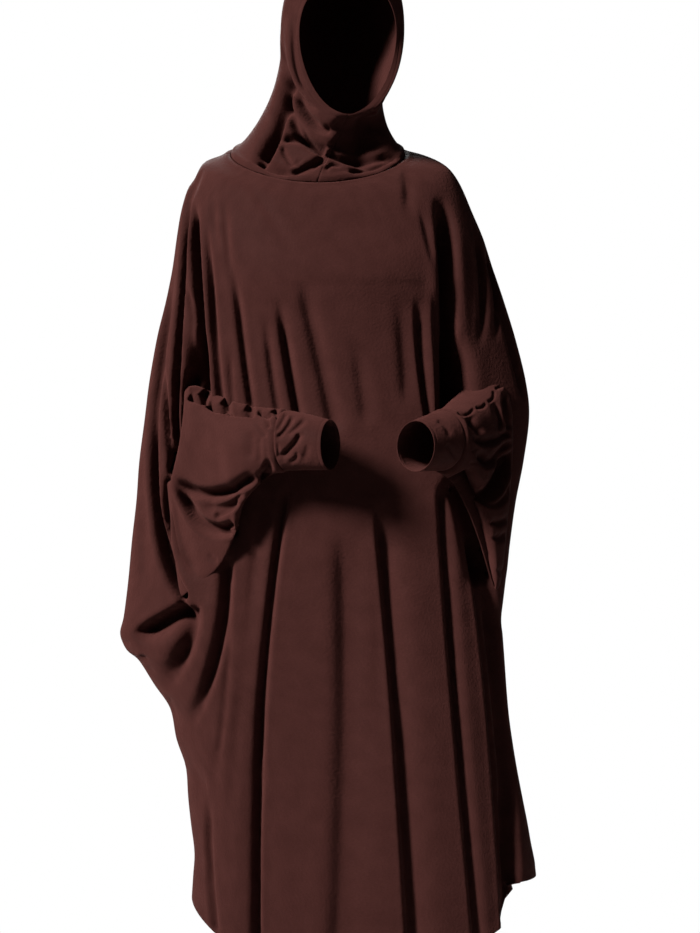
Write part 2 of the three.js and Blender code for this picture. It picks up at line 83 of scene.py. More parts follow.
# rightX, rightZ, leftX, leftZ, sideY, frontY, frontZ, backY, backZ, power
BODY = [
    [-135, 9, 112, 7, 3, -84, -41, 74, 28, 2.0],
    [-150, 2, 141, 2, 4, -93, -52, 84, 12, 2.05],
    [-172, -6, 164, -7, 6, -101, -66, 92, -8, 2.1],
    [-184, -27, 179, -20, 8, -107, -82, 97, -32, 2.15],
    [-194, -42, 192, -42, 9, -113, -102, 101, -60, 2.2],
    [-203, -73, 205, -73, 10, -120, -128, 103, -92, 2.2],
    [-209, -108, 220, -108, 11, -127, -155, 103, -125, 2.1],
    [-215, -150, 234, -150, 12, -128, -188, 102, -165, 2.0],
    [-224, -195, 249, -195, 13, -120, -222, 101, -208, 1.9],
    [-237, -250, 266, -250, 14, -112, -265, 100, -258, 1.85],
    [-248, -311, 281, -311, 14, -106, -318, 100, -315, 1.8],
    [-255, -367, 286, -360, 14, -103, -370, 102, -370, 1.8],
    [-262, -423, 278, -423, 12, -103, -425, 105, -425, 1.8],
    [-266, -479, 267, -479, 10, -104, -480, 108, -480, 1.85],
    [-272, -535, 259, -535, 8, -107, -536, 111, -536, 1.9],
    [-277, -591, 252, -591, 6, -110, -592, 114, -592, 2.0],
    [-283, -640, 246, -640, 5, -113, -640, 116, -640, 2.05],
    [-288, -665, 248, -668, 4, -114, -672, 117, -672, 2.1],
    [-279, -687, 250, -694, 4, -115, -700, 118, -698, 2.1],
    [-262, -701, 252, -722, 4, -117, -730, 119, -722, 2.15],
    [-240, -735, 254, -750, 4, -119, -762, 120, -752, 2.2],
    [-218, -768, 257, -782, 4, -121, -796, 122, -786, 2.2],
    [-209, -812, 262, -818, 5, -124, -834, 124, -824, 2.2],
    [-196, -850, 268, -855, 6, -127, -872, 126, -862, 2.2],
    [-193, -892, 275, -892, 7, -130, -912, 128, -900, 2.2],
    [-189, -930, 282, -926, 8, -133, -954, 130, -938, 2.2],
    [-184, -970, 288, -960, 9, -136, -1004, 132, -980, 2.2],
    [-186, -1002, 293, -985, 10, -138, -1060, 134, -1022, 2.2],
    [-188, -1032, 295, -1006, 11, -140, -1118, 136, -1062, 2.2],
]

# Folds are troughs, or ridges where the depth is below 0, along a curve through three points seen from ahead.
# Their half widths are given on the right and on the left of the way that they run, and their fades as
# shares of their length. A higher flatness makes the bottom flatter and the sides steeper.
# x0, z0, x1, z1, x2, z2, width on right, width on left, depth, fade in, fade out, flatness
FRONT_FOLDS = [
    [-184, -63, -177, -185, -166, -347, 4, 5.5, 50, 0.25, 0, 2.5],  # right armhole gap
    [-176, -239, -175, -293, -173, -346, 13, 11, 46, 0.5, 0, 2.5],  # right armhole gap, foot
    [-162, -99, -155, -233, -144, -347, 4, 4, 14, 0.5, 0, 2],  # right armhole gap, inner
    [-193, -59, -200, -188, -211, -343, 3, 3.5, 30, 0.25, 0.1, 2.5],  # outer shoulder fold, right
    [-194, -181, -184, -220, -187, -272, 3, 3, 10, 0.3, 0.4, 2],  # tongue, right
    [-189, -294, -195, -361, -211, -441, 5, 5, 46, 0.2, 0.02, 2.5],  # edge of the forearm, right
    [-170, -15, -181, -40, -186, -65, 3, 4, 4, 0.3, 0.3, 2],  # seam at the right shoulder
    [-155, -54, -153, -92, -146, -141, 4, 5, 5, 0.4, 0.5, 2],  # chest, right a
    [-141, -54, -134, -124, -126, -195, 4, 5, 5.5, 0.3, 0.5, 2],  # chest, right b
    [-127, -145, -115, -253, -102, -347, 4, 6, 15, 0.4, 0, 2],  # chest, right c
    [-164, -88, -152, -233, -140, -347, 2.5, 4, 9, 0.25, 0, 2],  # beside the gap
    [-131, -267, -130, -308, -127, -347, 3, 4, 8, 0.5, 0, 2],  # chest, right d
    [-83, -213, -75, -290, -65, -355, 4, 6, 10, 0.5, 0, 2],  # belly, right a
    [-65, -195, -53, -274, -38, -358, 5, 8, 17, 0.45, 0, 2],  # belly, right b
    [-34, -179, -16, -247, 11, -369, 9, 12, 12, 0.4, 0, 2],  # belly, right c
    [37, -247, 50, -314, 58, -382, 9, 12, 6, 0.5, 0.2, 2],  # belly, centre
    [99, -192, 107, -267, 113, -355, 8, 12, 6, 0.5, 0.2, 2],  # belly, left soft
    [-118, -21, -85, -77, -37, -149, 3, 9, 2.5, 0.3, 0.5, 2],  # from the collar
    [-85, -187, 34, -188, 153, -185, 34, 9, 2.4, 0.15, 0.1, 2],  # bust line
    [109, -13, 114, -54, 109, -95, 6, 8, 8, 0.3, 0.5, 2],  # below the collar, left
    [130, -70, 140, -118, 153, -175, 4, 6, 6, 0.4, 0.4, 2],  # chest, left b
    [158, -54, 168, -172, 171, -347, 9, 10, 60, 0.4, 0, 3],  # left armhole gap
    [173, -239, 181, -294, 185, -347, 15, 14, 46, 0.55, 0, 2.5],  # left armhole gap, foot
    [173, -122, 180, -204, 184, -286, 3, 3, -8, 0.3, 0.3, 2],  # left armhole ridge
    [204, -87, 217, -182, 210, -272, 3.5, 4.5, 14, 0.3, 0.4, 2],  # left shoulder a
    [224, -118, 238, -187, 233, -263, 3, 4, 16, 0.3, 0.4, 2],  # left shoulder b
    [218, -111, 248, -225, 277, -339, 3.5, 5, 12, 0.3, 0.1, 2],  # left shoulder c
    [125, -195, 128, -274, 140, -362, 3, 10, 12, 0.35, 0, 3],  # belly, left a
    [148, -179, 153, -274, 156, -358, 4, 8, 14, 0.4, 0, 3],  # belly, left b
    [-229, -257, -222, -356, -215, -441, 3, 3, 22, 0.5, 0.02, 2],  # right drape a
    [-203, -202, -208, -340, -214, -441, 3.5, 4, 40, 0.4, 0.02, 2],  # right drape b
    [-238, -339, -231, -516, -191, -613, 5, 4, 50, 0.3, 0.03, 2],  # right drape 2
    [-216, -445, -218, -540, -190, -611, 4, 4, 32, 0.03, 0.05, 2],  # right drape 3
    [-256, -437, -253, -535, -246, -619, 8, 10, 5, 0.4, 0.4, 2],  # right drape 4
    [-208, -130, -231, -283, -244, -437, 4, 5, 18, 0.4, 0.4, 2],  # right drape 5
    [-179, -24, -192, -63, -201, -126, 4, 5, 9, 0.3, 0.4, 2],  # right drape top
    [-188, -620, -230, -643, -271, -667, 5, 17, 44, 0.06, 0.35, 2],  # under right drape
    [-270, -674, -279, -677, -284, -670, 3, 3, 4, 0.2, 0.3, 2],  # under right drape, lip
    [-257, -691, -250, -696, -242, -698, 3, 4, 5, 0.3, 0.4, 2],  # puckers a
    [-249, -711, -242, -714, -235, -712, 3, 4, 4, 0.3, 0.4, 2],  # puckers b
    [-218, -747, -214, -761, -207, -787, 3, 4, 4, 0.3, 0.4, 2],  # puckers c
    [-180, -620, -190, -685, -232, -749, 14, 7, 30, 0.05, 0.5, 2],  # below drape
    [-164, -870, -171, -868, -180, -854, 4, 9, 10, 0.1, 0.3, 2],  # foot of the right drape
    [-133, -549, -145, -684, -195, -805, 9, 5, 27, 0.1, 0.4, 2],  # right flank
    [-129, -599, -137, -755, -157, -870, 4, 4, 6, 0.2, 0.1, 2],  # right flank, line
    [-157, -891, -161, -960, -152, -1063, 3, 5, 13, 0.3, 0, 2],  # right flank, low
    [-84, -461, -96, -559, -111, -748, 7, 10, 6, 0.2, 0.5, 2],  # right hip soft
    [-104, -667, -121, -803, -129, -965, 8, 10, 5, 0.4, 0.4, 2],  # right hip soft 2
    [-50, -453, -85, -762, -94, -1115, 6, 4, 20, 0.05, 0, 2],  # right knee
    [-79, -667, -92, -884, -92, -1115, 18, 5, 15, 0.35, 0, 2],  # right knee, lower
    [23, -504, 30, -748, 18, -1115, 15, 34, 15, 0.2, 0, 2],  # centre soft
    [68, -504, 75, -667, 69, -830, 12, 16, 5, 0.4, 0.4, 2],  # centre soft 2
    [69, -472, 94, -748, 117, -1115, 4, 20, 22, 0.15, 0, 2],  # centre left
    [156, -455, 172, -694, 208, -1115, 3, 9, 17, 0.08, 0, 2],  # left thigh
    [197, -518, 225, -735, 247, -1060, 4, 16, 27, 0.1, 0, 2.5],  # left side
    [220, -565, 242, -748, 256, -938, 5, 9, 16, 0.2, 0.2, 2.5],  # left flank
    [177, -434, 208, -507, 227, -599, 22, 12, 40, 0.2, 0.15, 3],  # beside the left bag
    [249, -864, 252, -961, 251, -1065, 3, 10, 16, 0.25, 0.25, 3],  # left hem edge
]

BACK_FOLDS = [
    [-150, -70, -185, -300, -215, -560, 9, 11, 20, 0.2, 0.2, 2],  # under the right arm
    [150, -70, 190, -300, 222, -520, 11, 9, 20, 0.2, 0.2, 2],  # under the left arm
    [-120, -120, -140, -350, -170, -640, 9, 9, 13, 0.25, 0.25, 2],  # shoulder blade, right
    [118, -110, 140, -330, 180, -600, 9, 10, 13, 0.25, 0.25, 2],  # shoulder blade, left
    [-60, -260, -75, -640, -95, -1070, 12, 10, 24, 0.3, 0, 2],  # back, right
    [10, -330, 5, -690, -5, -1070, 16, 14, 16, 0.3, 0, 2],  # back, centre
    [80, -250, 100, -650, 125, -1070, 11, 13, 26, 0.3, 0, 2],  # back, left
    [165, -560, 190, -800, 215, -1060, 10, 12, 26, 0.2, 0, 2],  # hip, left
    [-150, -640, -150, -840, -140, -1070, 12, 9, 22, 0.2, 0, 2],  # hip, right
    [-205, -140, -228, -330, -244, -560, 6, 7, 10, 0.3, 0.3, 2],  # outer drape, right
    [212, -140, 238, -280, 250, -480, 6, 7, 11, 0.3, 0.3, 2],  # outer drape, left
    [-262, -640, -225, -690, -190, -760, 9, 9, 14, 0.2, 0.4, 2],  # from the corner
    [-30, -90, -38, -170, -52, -260, 9, 9, 5, 0.4, 0.5, 2],  # below the nape
    [46, -80, 50, -160, 66, -250, 9, 9, 5, 0.4, 0.5, 2],  # below the nape, left
]

# topX, topY, topZ, lowX, lowY, lowZ, topWidth, lowWidth, rise, heading
SLEEVE_RIGHT = [
    [-198, 12, -318, -200, -30, -612, 44, 14, 1.5, 42],
    [-182, -20, -321, -192, -66, -606, 52, 14, 1.5, 42],
    [-160, -46, -332, -146, -98, -568, 50, 14, 1.5, 44],
    [-130, -82, -343, -124, -122, -526, 47, 15, 1.4, 47],
    [-102, -112, -349, -114, -142, -485, 45, 20, 1.25, 52],
    [-76, -138, -352, -80, -152, -447, 42, 30, 1.1, 59],
    [-52, -158, -355, -52, -158, -437, 39, 37, 1.0, 65],
]

SLEEVE_LEFT = [
    [232, 14, -306, 240, -26, -598, 34, 14, 1.5, -20],
    [220, -26, -312, 234, -56, -598, 46, 16, 1.5, -20],
    [204, -56, -326, 224, -80, -560, 48, 17, 1.4, -22],
    [189, -84, -338, 208, -102, -510, 46, 20, 1.3, -26],
    [174, -114, -348, 187, -124, -462, 43, 28, 1.1, -31],
    [158, -140, -355, 158, -140, -437, 39, 37, 1.0, -37],
]

CUFF_RIGHT = [
    [-52, -158, -355, -52, -158, -437, 39, 37, 1.0, 65],
    [-22, -172, -361, -22, -172, -436, 35, 34, 1.0, 65],
    [8, -186, -369, 8, -186, -436, 31, 31, 1.0, 65],
]

CUFF_LEFT = [
    [158, -140, -355, 158, -140, -437, 39, 37, 1.0, -37],
    [140, -164, -362, 140, -164, -437, 35, 34, 1.0, -37],
    [121, -189, -370, 121, -189, -438, 31, 31, 1.0, -37],
]

# folds that the right sleeve and the front beside it share
RIGHT_SWAGS = [
    [-209, -441, -160, -472, -89, -445, 4, 9, 32, 0.3, 0.08, 2],  # under the forearm
    [-208, -447, -172, -512, -119, -517, 4, 11, 38, 0.25, 0.05, 2.5],  # second swag
    [-209, -461, -197, -539, -168, -587, 6, 14, 9, 0.2, 0.3, 2],  # facet of the bag
]

SLEEVE_RIGHT_FOLDS = [
    [-96, -380, -97, -404, -100, -426, 8, 6, 5, 0.3, 0.3, 2],  # forearm's end soft
    [-83, -426, -77, -436, -85, -455, 8, 6, 16, 0.2, 0.2, 2],  # under the forearm, corner
    [-174, -476, -142, -488, -107, -465, 4, 8, 12, 0.3, 0.1, 2],  # second swag, inner
    [-151, -499, -133, -493, -115, -479, 3, 6, 14, 0.15, 0.1, 2],  # second swag, tuck
    [-160, -548, -153, -557, -145, -561, 4, 4, 4, 0.3, 0.3, 2],  # bag dent
    [-84, -385, -87, -407, -84, -431, 5, 4, 4, 0.3, 0.3, 2],  # beside the cuff
    [-214, -318, -217, -381, -233, -448, 40, 15, 60, 0, 0.04, 5],  # edge of the bag
    [-191, -326, -177, -325, -162, -332, 3, 3, -7, 0.1, 0.1, 2],  # rim a
    [-160, -334, -147, -337, -130, -343, 3, 3, -7, 0.1, 0.1, 2],  # rim b
    [-129, -345, -113, -348, -94, -352, 3, 3, -7, 0.1, 0.1, 2],  # rim c
    [-189, -336, -176, -341, -162, -343, 3, 6, 16, 0.1, 0.1, 2.5],  # lens a
    [-162, -346, -150, -353, -133, -356, 3, 6, 20, 0.1, 0.1, 2.5],  # lens b
    [-132, -357, -116, -360, -97, -360, 3, 6, 18, 0.1, 0.2, 2.5],  # lens c
    [-91, -357, -80, -362, -69, -362, 3, 4, 12, 0.2, 0.2, 2],  # lens d
    [-166, -327, -164, -336, -165, -347, 8, 3, 18, 0.05, 0.15, 2],  # pucker a
    [-134, -338, -131, -348, -133, -359, 9, 3, 20, 0.05, 0.15, 2],  # pucker b
    [-100, -348, -98, -356, -99, -366, 9, 3, 18, 0.05, 0.15, 2],  # pucker c
    [-66, -353, -64, -360, -66, -366, 7, 3, 12, 0.05, 0.2, 2],  # pucker d
    [-84, -359, -76, -369, -72, -383, 3, 3, 4, 0.3, 0.2, 2],  # cuff gather a
    [-95, -369, -84, -383, -77, -393, 3, 3, 3, 0.4, 0.2, 2],  # cuff gather b
]

SLEEVE_LEFT_FOLDS = [
    [173, -442, 195, -504, 207, -586, 40, 24, 60, 0.1, 0, 6],  # edge of the left bag
    [205, -310, 229, -304, 264, -297, 3, 3, -4, 0.2, 0.1, 2],  # upper ridge
    [205, -315, 237, -312, 265, -305, 3, 5, 18, 0.3, 0.05, 2.5],  # dark tuck
    [177, -359, 191, -362, 203, -351, 1.6, 2.4, 4, 0.1, 0.1, 2],  # seam a
    [204, -351, 214, -351, 220, -344, 1.6, 2.4, 4.5, 0.1, 0.1, 2],  # seam b
    [222, -343, 231, -337, 232, -326, 1.6, 2.4, 4.5, 0.1, 0.1, 2],  # seam c
    [234, -324, 242, -321, 246, -317, 1.6, 2.4, 4, 0.1, 0.2, 2],  # seam d
    [228, -338, 240, -364, 236, -389, 6, 2.5, 9, 0.3, 0.3, 2],  # facet a
    [191, -362, 200, -379, 216, -388, 2.5, 7, 9, 0.2, 0.3, 2],  # facet b
    [247, -326, 248, -356, 255, -381, 3, 5, 10, 0.2, 0.1, 2.5],  # outer crease
    [272, -322, 271, -360, 261, -386, 3, 4, 14, 0.2, 0.1, 2.5],  # outer crease 2
    [201, -389, 221, -400, 259, -383, 3, 7, 14, 0.25, 0.1, 2],  # first swag
    [206, -408, 225, -427, 259, -393, 4, 8, 19, 0.2, 0.1, 2],  # second swag
    [192, -446, 225, -472, 261, -405, 5, 13, 36, 0.2, 0.1, 2.5],  # third swag
    [208, -473, 237, -482, 264, -447, 3, 5, 10, 0.2, 0.1, 2],  # fourth swag
    [224, -507, 238, -509, 256, -500, 3, 5, 9, 0.2, 0.2, 2],  # fifth swag
    [229, -525, 240, -530, 252, -519, 3, 5, 9, 0.2, 0.2, 2],  # sixth swag
    [236, -569, 246, -578, 253, -569, 3, 4, 6, 0.2, 0.2, 2],  # knot
    [196, -396, 202, -390, 209, -388, 2, 2, 2, 0.1, 0.5, 2],  # gather a
    [198, -412, 203, -408, 210, -408, 2, 2, 2, 0.1, 0.5, 2],  # gather b
    [195, -427, 202, -426, 209, -428, 2, 2, 2, 0.1, 0.5, 2],  # gather c
]

CUFF_RIGHT_FOLDS = [
    [-50, -358, -56, -372, -66, -387, 3, 3, 4, 0.2, 0.2, 2],  # pull a
    [-43, -362, -49, -378, -65, -395, 3, 4, 6, 0.2, 0.15, 2],  # pull b
    [-24, -366, -39, -381, -54, -391, 3, 4, 5, 0.2, 0.3, 2],  # pull c
    [-33, -385, -41, -401, -61, -420, 3, 5, 9, 0.2, 0.15, 2],  # pull d
    [-41, -409, -37, -419, -50, -426, 3, 3, 4, 0.3, 0.3, 2],  # pull e
    [-64, -397, -61, -410, -64, -423, 2, 3, 3, 0.3, 0.3, 2],  # pull f
    [-21, -397, -24, -413, -32, -427, 4, 4, 3, 0.4, 0.4, 2],  # pull g
]

CUFF_LEFT_FOLDS = [
    [148, -370, 161, -378, 167, -394, 3, 4, 3, 0.2, 0.3, 2],  # pull a
    [159, -404, 169, -410, 177, -426, 3, 4, 3, 0.2, 0.3, 2],  # pull b
]

# frontX, frontY, frontZ, rightX, leftX, sideY, sideZ, backX, backY, backZ, power
HOOD = [
    [-10, -84, -41, -134, 112, 3, 8, -10, 74, 28, 2.0],
    [-2, -79, -18, -114, 97, 0, 24, -4, 66, 52, 2.0],
    [8, -75, 2, -93, 84, -4, 52, 4, 62, 84, 2.0],
    [18, -78, 20, -75, 80, -8, 88, 14, 82, 128, 2.0],
    [25, -85, 34, -64, 94, -16, 130, 20, 106, 190, 2.05],
    [29, -90, 43, -63, 104, -28, 164, 22, 84, 262, 2.1],
    [31, -92, 48, -58, 109, -44, 184, 26, 10, 299, 2.1],
    [31, -91, 51, -36, 98, -66, 165, 31, -80, 238, 2.0],
]

HOOD_FOLDS = [
    [-55, 111, -62, 45, -84, -9, 8, 5, 26, 0.2, 0.05, 2],  # side of the neck, right
    [-67, 34, -84, 4, -86, -18, 9, 8, 16, 0.35, 0.2, 2],  # side of the neck, bulb
    [-93, -8, -73, -26, -34, -31, 3, 8, 16, 0.15, 0.3, 2],  # side of the neck, foot
    [-60, 89, -37, 26, 0, -1, 4, 7, 26, 0.15, 0.02, 1.8],  # chin right a
    [-48, 86, -22, 43, 7, 28, 4, 6, 24, 0.2, 0.05, 1.8],  # chin right b
    [-37, 43, -21, 15, -3, 2, 2.5, 4, 13, 0.3, 0.1, 1.8],  # chin right c
    [-63, 19, -34, 17, -3, 0, 4, 6, 20, 0.15, 0.02, 2],  # collar swag
    [-60, 11, -54, -5, -43, -20, 3, 3, 12, 0.15, 0.1, 1.8],  # collar crease
    [-43, -20, -37, -15, -32, -7, 2, 3, 4, 0.1, 0.4, 2],  # collar crease, back
    [-48, -30, -23, -19, 0, -5, 6, 4, 15, 0.15, 0.02, 2],  # collar swag low
    [-18, -27, -8, -15, 1, -18, 2, 3, 8, 0.2, 0.2, 2],  # small curl a
    [1, -29, 9, -18, 20, -23, 2, 4, 9, 0.2, 0.2, 2],  # small curl b
    [15, -16, 23, -23, 31, -29, 2, 4, 5, 0.2, 0.3, 2],  # small curl c
    [9, 40, 42, 29, 83, 54, 12, 12, 14, 0.1, 0.15, 2],  # under the chin, left
    [7, 14, 39, 6, 89, 21, 6, 12, 16, 0.05, 0.15, 2],  # throat, left
    [1, -1, 42, -12, 100, 2, 4, 10, 15, 0.05, 0.15, 1.7],  # throat, left, low
    [27, -27, 64, -23, 105, 2, 3, 6, 10, 0.2, 0.15, 2],  # over the collar, left
    [-60, 166, -52, 100, -7, 51, 4, 5, 14, 0.3, 0.15, 1.8],  # cheek a
    [-44, 193, -41, 122, -23, 81, 3, 4, 7, 0.3, 0.2, 1.8],  # cheek b
    [-59, 130, -44, 73, -4, 32, 3, 5, 14, 0.3, 0.15, 1.8],  # cheek c
    [56, 59, 53, 18, 45, -23, 22, 20, 24, 0.25, 0.1, 2],  # throat, left side
    [-56, 207, -60, 166, -56, 125, 4, 6, 4, 0.3, 0.5, 2],  # crown a
]


# ---- shape functions -------------------------------------------------------------------------------


def rows_at(table, places):
    """Smooth values of every column between the rows of a table."""
    t = np.asarray(table, float)
    last = len(t) - 1
    places = np.asarray(places, float)
    i = np.minimum(np.floor(places).astype(int), last - 1)
    f = (places - i)[:, None]

    def at(k):
        return t[np.clip(k, 0, last)]

    rise = (at(i + 1) - at(i - 1)) / 2
    nxt = (at(i + 2) - at(i)) / 2
    f2, f3 = f * f, f * f * f
    level = at(i) * (2 * f3 - 3 * f2 + 1) + at(i + 1) * (3 * f2 - 2 * f3)
    return level + rise * (f3 - 2 * f2 + f) + nxt * (f3 - f2)


def xyz(x, y, z):
    return np.stack([x, y, z], 1)


def section_points(table, names, places):
    """The named columns of a table at places between its rows."""
    values = rows_at(table, places)
    return {name: values[:, k] for k, name in enumerate(names)}


def even_turns(section, start, end, count):
    """Turns that space the points of an elliptical section evenly, without the last one."""
    half, depth = section
    steps = 4000
    a = 2 * np.pi * (start + (end - start) * (np.arange(steps) + 0.5) / steps)
    lengths = np.concatenate([[0], np.cumsum(np.hypot(half * np.cos(a), depth * np.sin(a)))])
    wanted = np.linspace(0, lengths[-1], count + 1)
    return np.interp(wanted, lengths, np.linspace(start, end, steps + 1))[:-1]


def rings(front, back, right, left, power, turns):
    """Rings through four points each: arrays of rows by turns by 3."""
    a = 2 * np.pi * np.asarray(turns)[None, :, None]
    p = 2 / np.asarray(power)[:, None, None]
    c, s = np.cos(a), np.sin(a)
    c, s = np.sign(c) * np.abs(c) ** p, np.sign(s) * np.abs(s) ** p
    mid = ((left + right) / 2)[:, None, :]
    along = ((front - back) / 2)[:, None, :]
    bend = ((front + back) / 2)[:, None, :] - mid
    across = ((left - right) / 2)[:, None, :]
    return mid + along * c + bend * c * c + across * s


def normals_of(grid):
    """The outward normals of rings."""
    around = np.roll(grid, -1, 1) - np.roll(grid, 1, 1)
    along = np.gradient(grid, axis=0)
    n = np.cross(along, around)
    n /= np.maximum(np.linalg.norm(n, axis=2, keepdims=True), 1e-9)
    centre = grid.mean(axis=1, keepdims=True)
    return -n if (n * (grid - centre)).sum() < 0 else n


def smoothstep(t):
    t = np.clip(t, 0, 1)
    return t * t * (3 - 2 * t)


def fold_depth(folds, x, z):
    """How deep the folds are at points seen from ahead, with a low lip beside each."""
    total = np.zeros_like(x)
    for x0, z0, x1, z1, x2, z2, on_right, on_left, depth, fade_in, fade_out, flat in folds:
        mx, mz = 2 * x1 - (x0 + x2) / 2, 2 * z1 - (z0 + z2) / 2
        reach = REACH * max(on_right, on_left) + MARGIN
        near = (x > min(x0, x1, x2) - reach) & (x < max(x0, x1, x2) + reach)
        near &= (z > min(z0, z1, z2) - reach) & (z < max(z0, z1, z2) + reach)
        if not near.any():
            continue
        px, pz = x[near], z[near]
        t = np.linspace(0, 1, CURVE_STEPS + 1)
        cx = (1 - t) ** 2 * x0 + 2 * (1 - t) * t * mx + t * t * x2
        cz = (1 - t) ** 2 * z0 + 2 * (1 - t) * t * mz + t * t * z2
        best = np.full(px.shape, np.inf)
        place = np.zeros_like(px)
        side = np.zeros_like(px)
        for k in range(CURVE_STEPS):
            dx, dz = cx[k + 1] - cx[k], cz[k + 1] - cz[k]
            u = np.clip(((px - cx[k]) * dx + (pz - cz[k]) * dz) / (dx * dx + dz * dz), 0, 1)
            qx, qz = px - cx[k] - u * dx, pz - cz[k] - u * dz
            d = np.hypot(qx, qz)
            closer = d < best
            best = np.where(closer, d, best)
            place = np.where(closer, (k + u) / CURVE_STEPS, place)
            side = np.where(closer, dx * qz - dz * qx, side)
        w = np.where(side < 0, on_right, on_left)
        ends = 1.0
        if fade_in:
            ends = ends * smoothstep(place / fade_in)
        if fade_out:
            ends = ends * smoothstep((1 - place) / fade_out)
        q = best / w
        shape = np.exp(-(q**flat)) - LIP * np.exp(-(((q - LIP_PLACE) / LIP_WIDTH) ** 2))
        total[near] += depth * ends * shape
    return total


def press(grid, normals, folds, facing):
    """Presses folds into the side of a grid that faces -Y, where facing is -1, or +Y, where it is 1."""
    share = smoothstep((facing * normals[..., 1] - FACING_FROM) / FACING_RUN)
    depth = share * fold_depth(folds, grid[..., 0], grid[..., 2])
    way = normals * ALONG_NORMAL + np.array([0, STRAIGHT_IN * facing, 0])
    way /= np.linalg.norm(way, axis=2, keepdims=True)
    return grid - way * depth[..., None]


def soften(grid):
    """Evens out rings a little, keeping the first and the last."""
    side = (np.roll(grid, 1, 1) + np.roll(grid, -1, 1)) / 2
    up = grid.copy()
    up[1:-1] = (grid[:-2] + grid[2:]) / 2
    return grid * 0.5 + side * 0.25 + up * 0.25


def run_from(grid, edge):
    """How far every point of a grid is from its first or last row, along its column."""
    steps = np.linalg.norm(np.diff(grid, axis=0), axis=2)
    run = np.concatenate([np.zeros((1, grid.shape[1])), np.cumsum(steps, 0)])
    return run if edge == "start" else run[-1] - run


def raised(grid, edge, marks):
    """Raises rings along their normals beside an edge: marks are heights, places in from it and widths."""
    s = run_from(grid, edge)
    lift = sum(height * np.exp(-(((s - place) / width) ** 2)) for height, place, width in marks)
    return grid + normals_of(grid) * lift[..., None]


def lengths_along(grid, axis):
    """Running lengths along an axis of a grid, averaged over the other, in metres."""
    step = np.linalg.norm(np.diff(grid, axis=axis), axis=2)
    mean = step.mean(axis=1 - axis) * MM
    return np.concatenate([[0], np.cumsum(mean)])


def shell(name, outer, normals, closed, drop=None):
    """A thin shell under a grid of outer points, with its cloth coordinates in metres as UVs."""
    rows, cols = outer.shape[:2]
    inner = outer - normals * THIN
    points = np.concatenate([outer.reshape(-1, 3), inner.reshape(-1, 3)]) * MM
    u = lengths_along(np.concatenate([outer, outer[:, :1]], 1) if closed else outer, 1)
    v = lengths_along(outer, 0)
    last = cols if closed else cols - 1
    i, j = np.meshgrid(np.arange(rows - 1), np.arange(last), indexing="ij")
    keep = np.ones(i.shape, bool) if drop is None else ~drop
    i, j = i[keep], j[keep]
    k = (j + 1) % cols
    a, b, c, d = i * cols + j, (i + 1) * cols + j, (i + 1) * cols + k, i * cols + k
    size = rows * cols
    faces = np.concatenate([np.stack([a, b, c, d], 1), np.stack([a, d, c, b], 1) + size])
    uvs = np.concatenate(
        [
            np.stack([u[j], v[i], u[j], v[i + 1], u[j + 1], v[i + 1], u[j + 1], v[i]], 1),
            np.stack([u[j], v[i], u[j + 1], v[i], u[j + 1], v[i + 1], u[j], v[i + 1]], 1),
        ]
    )
    # the rims: every edge that only one outer face has
    edges = np.concatenate([np.stack(pair, 1) for pair in ((a, b), (b, c), (c, d), (d, a))])
    key = np.sort(edges, 1)
    _, first, count = np.unique(key, axis=0, return_index=True, return_counts=True)
    rim = edges[first[count == 1]]
    rims = np.stack([rim[:, 1], rim[:, 0], rim[:, 0] + size, rim[:, 1] + size], 1)
    faces = np.concatenate([faces, rims])
    ru, rv = u[np.minimum(rim % cols, len(u) - 1)], v[rim // cols]
    rim_uv = np.stack([ru[:, 1], rv[:, 1], ru[:, 0], rv[:, 0], ru[:, 0], rv[:, 0], ru[:, 1], rv[:, 1]], 1)
    uvs = np.concatenate([uvs, rim_uv])
    used = np.unique(faces)
    renum = np.full(len(points), -1)
    renum[used] = np.arange(len(used))
    mesh = bpy.data.meshes.new(name)
    mesh.from_pydata(points[used].tolist(), [], renum[faces].tolist())
    layer = mesh.uv_layers.new(name="cloth")
    layer.data.foreach_set("uv", uvs.reshape(-1))
    mesh.validate()
    mesh.shade_smooth()
    obj = bpy.data.objects.new(name, mesh)
    bpy.context.scene.collection.objects.link(obj)
    if (obj.data.polygons[0].normal @ Vector(normals[i[0], j[0]])) < 0:
        obj.data.flip_normals()
    return obj


def columns(grid, start, end):
    return grid[:, np.arange(start, end + 1) % grid.shape[1]]


def panel(name, grid, start, end, drop=None):
    """A shell of a stretch of columns of rings."""
    return shell(name, columns(grid, start, end), columns(normals_of(grid), start, end), False, drop)


def tube(name, grid):
    return shell(name, grid, normals_of(grid), True)


def tree_of(grid):
    """The closed rings of a grid, for ray casts."""
    rows, cols = grid.shape[:2]
    i, j = np.meshgrid(np.arange(rows - 1), np.arange(cols), indexing="ij")
    i, j = i.ravel(), j.ravel()
    k = (j + 1) % cols
    quads = np.stack([i * cols + j, (i + 1) * cols + j, (i + 1) * cols + k, i * cols + k], 1)
    return BVHTree.FromPolygons(grid.reshape(-1, 3).tolist(), quads.tolist())


def covered(grid, sleeve, heading, box):
    """Faces of a grid whose centre lies inside a sleeve, deeper than COVER, and inside a box."""
    tree = tree_of(sleeve)
    across = Vector((math.cos(math.radians(heading)), math.sin(math.radians(heading)), 0))
    centre = (grid[:-1, :-1] + grid[1:, 1:]) / 2
    low, high = box
    near = ((centre > low) & (centre < high)).all(axis=2)
    inside = np.zeros(near.shape, bool)
    for i, j in zip(*np.nonzero(near)):
        start = Vector(centre[i, j])
        crossings = 0
        hit = tree.ray_cast(start, across)
        while hit[0] is not None and crossings < MOST_CROSSINGS:
            crossings += 1
            hit = tree.ray_cast(hit[0] + across * RAY_STEP, across)
        inside[i, j] = crossings % 2 == 1 and tree.find_nearest(start)[3] > COVER
    return inside


